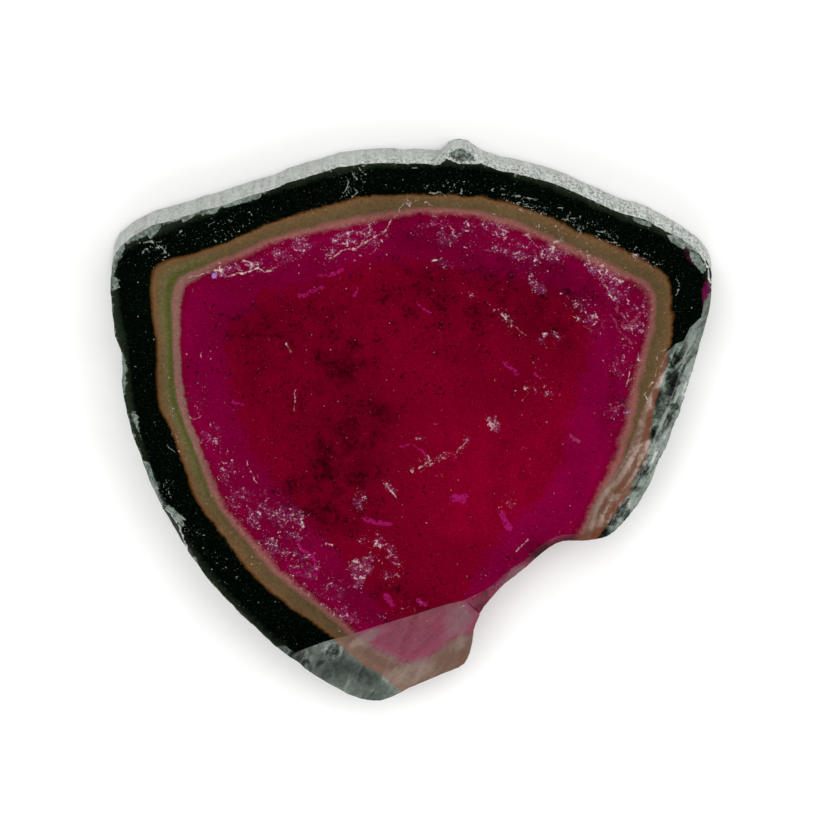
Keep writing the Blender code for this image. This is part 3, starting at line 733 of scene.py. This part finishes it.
def flecked(node, look, stone, colour):
    """Flecks: soft mauve wisps, crumbs and threads, thick in the clouds, and dust and dots everywhere."""
    clump = node("MapRange", stone.coarse, 0.42, 0.58, 0.35, 1.0)
    cloud = node("Math", stone.flecks, clump, operation="MULTIPLY")
    soft_cloud = node("MapRange", node("Math", cloud, stone.fine, operation="MULTIPLY"), 0.24, 0.46, 0.0, 0.6)
    wisps = node("Math", soft_cloud, stone.in_core, operation="MULTIPLY")
    wispy = node("Mix", wisps, colour, look.wisp, data_type="RGBA")

    grainy = node("Math", stone.off_speck, 0.2, stone.crumbs, operation="MULTIPLY_ADD")
    flaky = node("Math", cloud, 0.22, grainy, operation="MULTIPLY_ADD")
    flakes = node("MapRange", flaky, 0.745, 0.82, 0.0, 0.9)
    dusty = node("Math", cloud, 0.2, stone.speck, operation="MULTIPLY_ADD")
    dust = node("MapRange", dusty, 0.76, 0.86, 0.0, 0.6)

    turn = node("Math", stone.east, THREAD_TURN, operation="MULTIPLY")
    turned = node("VectorRotate", stone.place, named={"Angle": turn}, rotation_type="Z_AXIS")
    drawn_out = node("Mapping", turned, named={"Scale": (1, 2.2, 1)})
    thread_noise = node("TexNoise", drawn_out, per_mm(1.0), 1, 0.6, named={"Distortion": 0.8})
    off_thread = node("Math", node("Math", thread_noise, 0.5, operation="SUBTRACT"), operation="ABSOLUTE")
    thread = node("MapRange", off_thread, 0.004, 0.014, 1.0, 0.0)
    thread_cover = node("MapRange", node("Math", cloud, stone.crumbs, operation="MULTIPLY"),
                        0.30, 0.50, 0.0, 0.7)
    threads = node("Math", thread, thread_cover, operation="MULTIPLY")

    crumbled = node("Math", stone.fine, stone.crumbs, operation="ADD")
    scratches = node("MapRange", node("Math", stone.scratches, crumbled, operation="MULTIPLY"),
                     0.7, 1.15, 0.0, 0.95)

    dots = node("TexVoronoi", stone.place, per_mm(0.5))
    dot_pick = node("MapRange", node("SeparateColor", dots.node.outputs["Color"]), 0.7, 1.0, 0.0, 0.8)
    dot = node("MapRange", dots, 0.06, 0.12, 1.0, 0.0)
    stone.flaws = node("Math", dot, dot_pick, operation="MULTIPLY")
    for kind in (flakes, dust, threads, scratches):
        stone.flaws = node("Math", stone.flaws, kind, operation="MAXIMUM")
    red_flaw = node("Mix", node("MapRange", stone.fine, 0.42, 0.62), look.flaw_shade, look.flaw,
                    data_type="RGBA")
    flaw_colour = node("Mix", stone.in_rind, red_flaw, look.rind_flaw, data_type="RGBA")
    return node("Mix", stone.flaws, wispy, flaw_colour, data_type="RGBA")


def broken_faces(node, look, stone, colour):
    """Broken faces scatter light: pinkish over the core, brown and rosy over the band, grey over the rind.
    On smooth facets, such as the tip's, their pale veil is also a painted reflection of the pale ground.
    """
    along_streaks = node("Mapping", stone.place, vector_type="TEXTURE", named={
        "Rotation": (0, 0, STREAK_TURN), "Scale": (3.5, 1, 1)})
    streaks = node("TexNoise", along_streaks, per_mm(0.8), 2, 0.62, named={"Distortion": 0.9})
    stone.relief = node("Math", stone.off_fine, 0.45, streaks, operation="MULTIPLY_ADD")
    stone.contrast = node("MapRange", stone.hackle, 0, 1, 0.22, 0.8)
    lift = node("Math", stone.pallor, 0.08, 0.5, operation="MULTIPLY_ADD")
    off_relief = node("Math", stone.relief, 0.5, operation="SUBTRACT")
    tone = node("Math", off_relief, stone.contrast, lift, operation="MULTIPLY_ADD")

    haze = node("Mix", node("MapRange", tone, 0.51, 0.58), look.core_haze, look.core_pale, data_type="RGBA")
    hazy = node("Mix", node("MapRange", tone, 0.43, 0.59, 0.0, 0.60), colour, haze, data_type="RGBA")
    core_break = node("Mix", node("MapRange", tone, 0.36, 0.43, 0.8, 0.0), hazy, look.soot, data_type="RGBA")
    band_tones = node("ValToRGB", tone, stops=(
        (0.40, look.band_pit), (0.50, look.band_haze), (0.58, look.band_pale), (0.68, look.band_light)))
    band_break = node("Mix", 0.85, colour, band_tones, data_type="RGBA")
    rind_tones = node("ValToRGB", tone, stops=(
        (0.38, look.rind), (0.44, look.rind_pit), (0.50, look.rind_haze), (0.56, look.rind_pale),
        (0.64, look.skin), (0.72, look.skin_light)))
    rind_break = node("Mix", 0.95, colour, rind_tones, data_type="RGBA")
    inner_break = node("Mix", node("MapRange", stone.zone, 0.46, 0.53), core_break, band_break,
                       data_type="RGBA")
    break_colour = node("Mix", node("MapRange", stone.zone, 0.735, 0.755), inner_break, rind_break,
                        data_type="RGBA")
    return node("Mix", stone.broken, colour, break_colour, data_type="RGBA")


def worn_edge(node, look, stone, colour):
    """Wear: grey chips and scuffs here and there along the edge of the front. Their grey is partly wear and
    partly a painted reflection, where the small facets of the edge catch the light.
    """
    ragged_chips = node("Math", stone.off_fine, 0.9, stone.chips, operation="MULTIPLY_ADD")
    chip_and_sheen = node("MapRange", ragged_chips, 0.45, 0.60)
    ragged_edge = node("Math", stone.off_fine, 0.5, stone.edge, operation="MULTIPLY_ADD")
    scuffed = node("Math", stone.off_coarse, ragged_edge, operation="ADD")
    scuff = node("MapRange", scuffed, 0.74, 0.82, 0.0, 0.85)
    stone.wear = node("Math", chip_and_sheen, scuff, operation="MAXIMUM")
    # Partly painted reflection: this grey stands for light caught by the smooth chips and the worn bevel, as
    # well as for wear.
    wear_and_sheen_colour = node("Mix", node("MapRange", stone.crumbs, 0.42, 0.62), look.chip_and_sheen, look.rind_pale,
                       data_type="RGBA")
    return node("Mix", stone.wear, colour, wear_and_sheen_colour, data_type="RGBA")


def grown_skin(node, look, stone, colour):
    """The grown skin: a painted silver-grey sheen over the dark rind, standing for the pale surroundings that
    the dark skin reflects; pebbled near the front, smooth and ribbed behind. The pebbles are taller than
    wide, and the left of the skin is smoothest."""
    taller = node("Mapping", stone.place, named={"Scale": (1, 1, 0.4)})
    stone.pebbles = node("TexNoise", taller, per_mm(0.17), 2, 0.7)
    upright = node("Mapping", stone.place, named={"Scale": (1, 1, 0.04)})
    ribs = node("TexNoise", upright, per_mm(0.3), 1, 0.7)
    off_pebbles, off_ribs = (
        node("Math", field, 0.5, operation="SUBTRACT") for field in (stone.pebbles, ribs))
    leaning_height = node("Math", stone.east, 0.12, stone.high, operation="MULTIPLY_ADD")
    uneven_height = node("Math", stone.off_coarse, 4 * MM, leaning_height, operation="MULTIPLY_ADD")
    pebbled = node("MapRange", uneven_height, 1.8 * MM, 3.0 * MM, 0.5, 1.6)
    pebbly = node("Math", off_pebbles, pebbled, 0.5, operation="MULTIPLY_ADD")
    skin_tone = node("Math", off_ribs, 0.25, pebbly, operation="MULTIPLY_ADD")
    # Painted sheen: this grey ramp stands for the pale room that the dark skin mirrors, paler on the smooth
    # parts and darker in the pits.
    skin_sheen_colour = node("ValToRGB", skin_tone, stops=(
        (0.33, look.skin_sheen_pit), (0.44, look.skin), (0.54, look.skin_sheen_pale), (0.68, look.skin_light)))
    blushing_skin = node("Mix", stone.blush_cover, skin_sheen_colour, look.blush, data_type="RGBA")
    return node("Mix", stone.skin, colour, blushing_skin, data_type="RGBA")


def bruised_crests(node, look, stone, colour):
    """Crests are bruised white, here and there."""
    uneven = node("Math", stone.fine, stone.coarse, operation="ADD")
    stone.bruise = node("MapRange", node("Math", stone.crest, uneven, operation="MULTIPLY"),
                        0.72, 1.05, 0.0, 0.85)
    return node("Mix", stone.bruise, colour, look.skin_light, data_type="RGBA")


def polished_tourmaline(look, sizes):
    """Tourmaline, sawn across the prism and polished: a glassy face, deep see-through colour in growth zones,
    an opaque dark rind, a satin fluted skin where it grew with a painted silver-grey sheen, and a duller,
    paler face where it broke, partly a painted reflection."""
    material = bpy.data.materials.new("Polished tourmaline")
    material.use_nodes = True
    material.node_tree.nodes.clear()
    node = partial(add_node, material.node_tree)
    stone = stone_fields(node)
    colour = growth_zones(node, look, stone)
    for finish in (cloudy_red, peppered_rind, shining_cracks, flecked, broken_faces, worn_edge, grown_skin,
                   bruised_crests):
        colour = finish(node, look, stone, colour)

    # See-through red, a cloudy band and an opaque rind. Flaws, bruises and skin let little through.
    clear = node("MapRange", stone.growth, 1.6, 2.9, sizes.clarity, 0.0)
    cover = node("Math", node("Math", stone.flaws, stone.skin, operation="MAXIMUM"), stone.bruise,
                 operation="MAXIMUM")
    clearer = node("Math", clear, node("MapRange", cover, 0, 1, 1, 0), operation="MULTIPLY")
    rough_skin = node("MapRange", stone.skin, 0, 1, sizes.polish, sizes.skin_roughness)
    rough_break = node("Mix", stone.broken, rough_skin, sizes.break_roughness, data_type="FLOAT")
    rough_worn = node("Mix", stone.wear, rough_break, sizes.wear_roughness, data_type="FLOAT")

    # Relief too fine for the mesh: pebbles on the skin, crinkles on the breaks.
    crinkles = node("Math", stone.relief, stone.contrast, operation="MULTIPLY")
    break_height = node("Math", crinkles, stone.broken, operation="MULTIPLY")
    skin_height = node("Math", stone.pebbles, 1.5, operation="MULTIPLY")
    height = node("Math", skin_height, stone.skin, break_height, operation="MULTIPLY_ADD")
    bump = node("Bump", named={"Height": height, "Strength": 0.6, "Distance": sizes.bump_height})

    surface = node("BsdfPrincipled", named={
        "Base Color": colour, "Roughness": rough_worn, "IOR": sizes.refraction,
        "Transmission Weight": clearer, "Normal": bump})
    volume = node("VolumeAbsorption", look.depth, sizes.absorption)
    node("OutputMaterial", surface, volume)
    return material


# ---------------------------------------------------------------- the stage
LOOK_AT = Vector((0.54, 0.8, FRONT)) * MM  # what the camera and the lights aim at
TABLE_GAP = 0.03 * MM  # keeps the stone's back out of the table
KEY_LIGHT = (0, 0.62, 0.79)  # the way to it
# The name of each softbox, the way to it, and its share of the glow.
SOFTBOXES = (
    ("near softbox", (0, -0.76, 0.65), 1.1), ("right softbox", (0.86, 0.1, 0.5), 1.5),
    ("left softbox", (-0.86, -0.1, 0.5), 1.0),
)


def pale_table():
    """Matt painted board: even, pale and without shine."""
    material = bpy.data.materials.new("Matt painted board")
    material.use_nodes = True
    material.node_tree.nodes.clear()
    node = partial(add_node, material.node_tree)
    grain = node("TexNoise", node("TexCoord", out="Object"), per_mm(4), 3)
    colour = node("ValToRGB", grain, stops=((0.0, linear("f4f4f3")), (1.0, linear("fafaf9"))))
    node("OutputMaterial", node("BsdfPrincipled", named={
        "Base Color": colour, "Roughness": 0.9, "Specular IOR Level": 0.1}))
    return material


def add_light(name, toward, distance, size, radiance):
    """A square soft light that shines on the stone from the direction given, and that no polish mirrors."""
    light = bpy.data.lights.new(name, "AREA")
    light.size = size
    light.energy = 4 * size**2 * radiance  # Blender's watts for an area light of this radiance
    lamp = bpy.data.objects.new(name, light)
    bpy.context.collection.objects.link(lamp)
    direction = Vector(toward).normalized()
    lamp.location = LOOK_AT + direction * distance
    lamp.rotation_mode = "QUATERNION"
    lamp.rotation_quaternion = direction.to_track_quat("Z", "Y")
    lamp.visible_glossy = False


def dim_room(stage):
    """An even grey room whose ceiling is dark, so that the polished face shows its own colour."""
    world = bpy.data.worlds.new("Dim room")
    world.use_nodes = True
    world.node_tree.nodes.clear()
    node = partial(add_node, world.node_tree)
    floor, wall, ceiling = (stage.room * 0.3,) * 3, (stage.room,) * 3, (0.001,) * 3
    height = node("SeparateXYZ", node("TexCoord", out="Generated"), out="Z")
    colour = node("ValToRGB", height, stops=(
        (0.0, floor), (0.2, floor), (0.4, wall), (0.78, wall), (0.90, ceiling), (1.0, ceiling)))
    node("OutputWorld", node("Background", colour))
    bpy.context.scene.world = world


# ---------------------------------------------------------------- settings
def length_property(name, description, default):
    """A length setting."""
    return FloatProperty(name=name, description=description, default=default, unit="LENGTH")


def share_property(name, description, default):
    """A setting from 0 to 1."""
    return FloatProperty(name=name, description=description, default=default, subtype="FACTOR")


class SliceSizes(bpy.types.PropertyGroup):
    front_cell: length_property("Front cell", "Width of a cell on the front", 0.26 * MM)
    cell: length_property("Cell", "Width of a cell on the walls and breaks", 0.13 * MM)
    wall_cell: length_property("Wall cell", "Height of a cell on the walls", 0.35 * MM)
    back_cell: length_property("Back cell", "Width of a cell on the back", 0.6 * MM)
    wear_width: length_property("Wear width", "Width of the worn edge of the solid", 0.42 * MM)
    scuff_width: length_property("Scuff width", "Greatest width of the grey scuffs along the edge", 1.0 * MM)
    flute_pitch: length_property("Flute pitch", "Width of a growth flute on the skin", 0.5 * MM)
    flute_depth: length_property("Flute depth", "Depth of a growth flute", 0.022 * MM)
    break_relief: length_property("Break relief", "Depth of the crags on rough breaks", 0.16 * MM)
    bump_height: length_property("Bump height", "Height of the finest relief", 0.06 * MM)
    polish: share_property("Polish", "Roughness of the polished face", 0.07)
    skin_roughness: share_property("Skin roughness", "Roughness of the grown skin", 0.42)
    break_roughness: share_property("Break roughness", "Roughness of the broken faces", 0.26)
    wear_roughness: share_property("Wear roughness", "Roughness of the worn edge", 0.45)
    clarity: share_property("Clarity", "Share of the light that the red lets in", 0.45)
    refraction: FloatProperty(
        name="Refractive index", description="Tourmaline has 1.62 to 1.64", default=1.63)
    absorption: FloatProperty(
        name="Absorption", description="Absorption for each metre of stone", default=250)


def colour_property(name, description, hex_colour):
    """A colour setting whose default is an sRGB hex value."""
    return FloatVectorProperty(
        name=name, description=description, default=linear(hex_colour), subtype="COLOR", size=3, min=0, max=1)


class SliceColours(bpy.types.PropertyGroup):
    heart: colour_property("Heart", "Crimson in the middle", "8a0026")
    core: colour_property("Core", "Magenta-red round the heart", "8a003b")
    core_edge: colour_property("Core edge", "Red where the core meets the band", "7a002e")
    soot: colour_property("Soot", "Dark specks in the red", "300008")
    veil: colour_property("Veil", "Glints of inner cracks", "c0207a")
    vein: colour_property("Vein", "Pinker cracks on the right", "a84a60")
    blush: colour_property("Blush", "Magenta that shines through the rind", "6c1448")
    pink_line: colour_property("Pink line", "Innermost line of the band", "8a6259")
    pink_brown: colour_property("Pink-brown", "Inner part of the band on the right", "945a56")
    green_line: colour_property("Green line", "Thin green line in the band", "4f5126")
    olive: colour_property("Olive", "Middle of the band", "5e5636")
    umber: colour_property("Umber", "Middle of the band on the right", "5d4b32")
    tan: colour_property("Tan", "Outer part of the band", "634a30")
    rust: colour_property("Rust", "Line between the band and the rind", "44290f")
    rind: colour_property("Rind", "Black-green outer zone", "010502")
    rind_edge: colour_property("Rind edge", "Rind just under the skin", "20281c")
    # The four skin colours are a painted sheen. The grown skin is dark, and its silver-grey stands for the
    # pale surroundings that it reflects. Skin and skin light also pale the breaks over the rind, and skin
    # light whitens the bruised crests.
    skin: colour_property("Skin", "Silver-grey grown face", "8b908a")
    skin_sheen_pale: colour_property("Skin pale", "Smoother parts of it", "a3a8a2")
    skin_light: colour_property("Skin light", "Crests on the grown face", "bcc0ba")
    skin_sheen_pit: colour_property("Skin pit", "Pits in the grown face", "4a514b")
    pepper: colour_property("Pepper", "Grains in the rind", "28342a")
    glint: colour_property("Glint", "Violet flakes", "b090d8")
    wisp: colour_property("Wisp", "Soft mauve clouds of tiny cracks", "96326c")
    # The break colours are partly the scatter of broken stone and partly a painted reflection of the pale
    # ground, most on the smooth facet at the tip.
    core_haze: colour_property("Core haze", "Veil on a break over the core", "b05c7c")
    core_pale: colour_property("Core pale", "Palest veil there", "96787c")
    band_pit: colour_property("Band pit", "Dark in a break over the band", "66341f")
    band_haze: colour_property("Band haze", "Brown of a break over the band", "6e4e3d")
    band_pale: colour_property("Band pale", "Rosy streaks in a break over the band", "8c7266")
    band_light: colour_property("Band light", "Palest streaks there", "ac948b")
    rind_pit: colour_property("Rind pit", "Dark in a break over the rind", "2a342c")
    rind_haze: colour_property("Rind haze", "Grey of a break over the rind", "505a51")
    rind_pale: colour_property("Rind pale", "Paler grey there", "7c887e")
    # Chip grey is partly wear and partly a painted reflection of the light on the smooth chips.
    chip_and_sheen: colour_property("Chip", "Grey of small chips at the edge", "48534c")
    flaw: colour_property("Flaw", "Whitish flakes and scratches", "cdbab0")
    flaw_shade: colour_property("Flaw shade", "The darker ones of them", "9c7078")
    rind_flaw: colour_property("Rind flaw", "The same in the rind", "8e978c")
    depth: colour_property("Depth", "Light left after a path through the stone", "f0405a")


class StageSettings(bpy.types.PropertyGroup):
    table: length_property("Table", "Half the table's width", 1.5)
    lens: FloatProperty(name="Lens", description="Focal length in millimetres", default=500)
    distance: length_property("Distance", "Camera to stone", 0.729)
    tilt: FloatProperty(
        name="Tilt", description="Camera's lean from the vertical", default=math.radians(17), subtype="ANGLE")
    key_distance: length_property("Key distance", "Main light to stone", 0.7)
    key_size: length_property("Key size", "Width of the main light", 0.8)
    softbox_distance: length_property("Softbox distance", "Side lights to stone", 0.6)
    softbox_size: length_property("Softbox size", "Width of a side light", 0.6)
    key: FloatProperty(name="Key", description="Radiance of the main light", default=1.6)
    glow: FloatProperty(name="Glow", description="Radiance of the side lights", default=0.8)
    room: FloatProperty(name="Room", description="Radiance of the walls", default=0.5)


# ---------------------------------------------------------------- operators
class TOURMALINE_OT_slice(bpy.types.Operator):
    """Makes the polished slice"""

    bl_idname = "tourmaline.slice"
    bl_label = "Polished slice"

    def execute(self, context):
        sizes, colours = context.scene.slice_sizes, context.scene.slice_colours
        bm = stone_cells(sizes)
        wear_edge(bm, sizes)
        roughen(bm, sizes)
        mark_crests(bm)
        mesh = bpy.data.meshes.new("polished_slice")
        bm.to_mesh(mesh)
        bm.free()
        mark_stone(mesh)
        mesh.materials.append(polished_tourmaline(colours, sizes))
        stone = bpy.data.objects.new("polished_slice", mesh)
        context.collection.objects.link(stone)
        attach(stone, "root")
        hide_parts(NODE)
        return {"FINISHED"}


class TOURMALINE_OT_stage(bpy.types.Operator):
    """Sets the table, the lights and the camera"""

    bl_idname = "tourmaline.stage"
    bl_label = "Studio table"

    def execute(self, context):
        stage = context.scene.slice_stage
        mesh = bpy.data.meshes.new("table")
        bm = bmesh.new()
        bmesh.ops.create_grid(bm, x_segments=1, y_segments=1, size=stage.table)
        bmesh.ops.translate(bm, verts=bm.verts, vec=(0, 0, -TABLE_GAP))
        bm.to_mesh(mesh)
        bm.free()
        table = bpy.data.objects.new("table", mesh)
        table.data.materials.append(pale_table())
        context.collection.objects.link(table)

        add_light("key", KEY_LIGHT, stage.key_distance, stage.key_size, stage.key)
        for name, toward, share in SOFTBOXES:
            add_light(name, toward, stage.softbox_distance, stage.softbox_size, stage.glow * share)
        dim_room(stage)

        camera = bpy.data.objects.new("camera", bpy.data.cameras.new("camera"))
        camera.data.lens = stage.lens
        camera.data.sensor_width = 36
        camera.data.clip_start = 0.01
        back = Vector((0, math.sin(stage.tilt), math.cos(stage.tilt)))
        camera.matrix_world = Matrix.Translation(LOOK_AT + back * stage.distance) @ Matrix(
            ((1, 0, 0), (0, back.z, back.y), (0, -back.y, back.z))
        ).to_4x4()
        context.collection.objects.link(camera)
        context.scene.camera = camera
        context.scene.view_settings.view_transform = "Standard"
        return {"FINISHED"}


class TOURMALINE_PT_panel(bpy.types.Panel):
    """The slice's settings and the buttons that make it"""

    bl_idname = "TOURMALINE_PT_panel"
    bl_label = "Tourmaline slice"
    bl_space_type = "VIEW_3D"
    bl_region_type = "UI"
    bl_category = "Tourmaline"

    def draw(self, context):
        for settings in (context.scene.slice_sizes, context.scene.slice_colours, context.scene.slice_stage):
            box = self.layout.box()
            for name in settings.__annotations__:
                box.prop(settings, name)
        self.layout.operator(TOURMALINE_OT_slice.bl_idname)
        self.layout.operator(TOURMALINE_OT_stage.bl_idname)


CLASSES = (
    SliceSizes, SliceColours, StageSettings, TOURMALINE_OT_slice, TOURMALINE_OT_stage, TOURMALINE_PT_panel,
)


def register():
    for cls in CLASSES:
        bpy.utils.register_class(cls)
    bpy.types.Scene.slice_sizes = PointerProperty(type=SliceSizes)
    bpy.types.Scene.slice_colours = PointerProperty(type=SliceColours)
    bpy.types.Scene.slice_stage = PointerProperty(type=StageSettings)


def unregister():
    del bpy.types.Scene.slice_sizes
    del bpy.types.Scene.slice_colours
    del bpy.types.Scene.slice_stage
    for cls in reversed(CLASSES):
        bpy.utils.unregister_class(cls)


def main():
    register()
    bpy.ops.tourmaline.slice()
    bpy.ops.tourmaline.stage()


if __name__ == "__main__":
    main()
